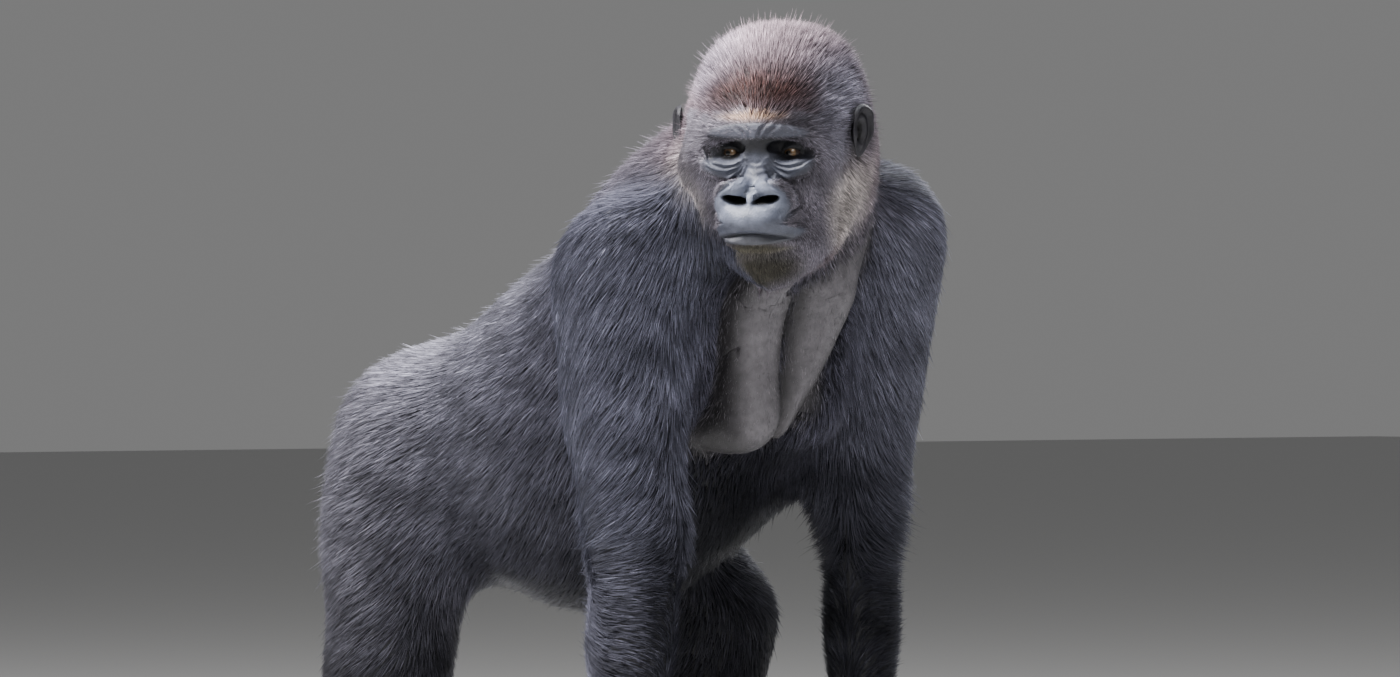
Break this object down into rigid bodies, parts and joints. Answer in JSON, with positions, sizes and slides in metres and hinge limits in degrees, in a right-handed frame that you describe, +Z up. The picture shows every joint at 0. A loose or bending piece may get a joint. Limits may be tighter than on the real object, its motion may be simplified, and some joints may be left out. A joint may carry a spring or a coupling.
{
  "type": "gorilla",
  "caption": "Still, life-size gorilla standing on its knuckles and soles, with its head turned to its right.",
  "frame": {"origin": "on the floor, under the middle of the box around the whole animal", "axes": "+Z up, the trunk lies along Y with the chest towards -Y, +X is the animal's left side"},
  "size_m": [0.5758, 0.8554, 1.0245],
  "materials": {
    "coat": "coarse charcoal-black hair with a soft blue-grey sheen, greyer on the back and thighs",
    "crown_coat": "short dense hair, reddish brown on the crown, with pale tips on the cheeks",
    "bare_skin": "blue-black bare skin, creased, with an oily gloss on nose and brow",
    "eye": "wet gloss over an amber-brown iris",
    "nail": "dark horn, smooth and slightly glossy"
  },
  "bodies": {
    "root": {"chest": "coat", "belly": "coat", "rump": "coat", "neck": "coat", "head": "crown_coat", "face": "bare_skin", "ear_right": "bare_skin", "ear_left": "bare_skin", "eye_right": "eye", "eye_left": "eye", "upper_arm_right": "coat", "upper_arm_left": "coat", "forearm_right": "coat", "forearm_left": "coat", "hand_right": "bare_skin", "hand_left": "bare_skin", "thigh_right": "coat", "thigh_left": "coat", "shin_right": "coat", "shin_left": "coat", "foot_right": "bare_skin", "foot_left": "bare_skin"}
  },
  "joints": []
}
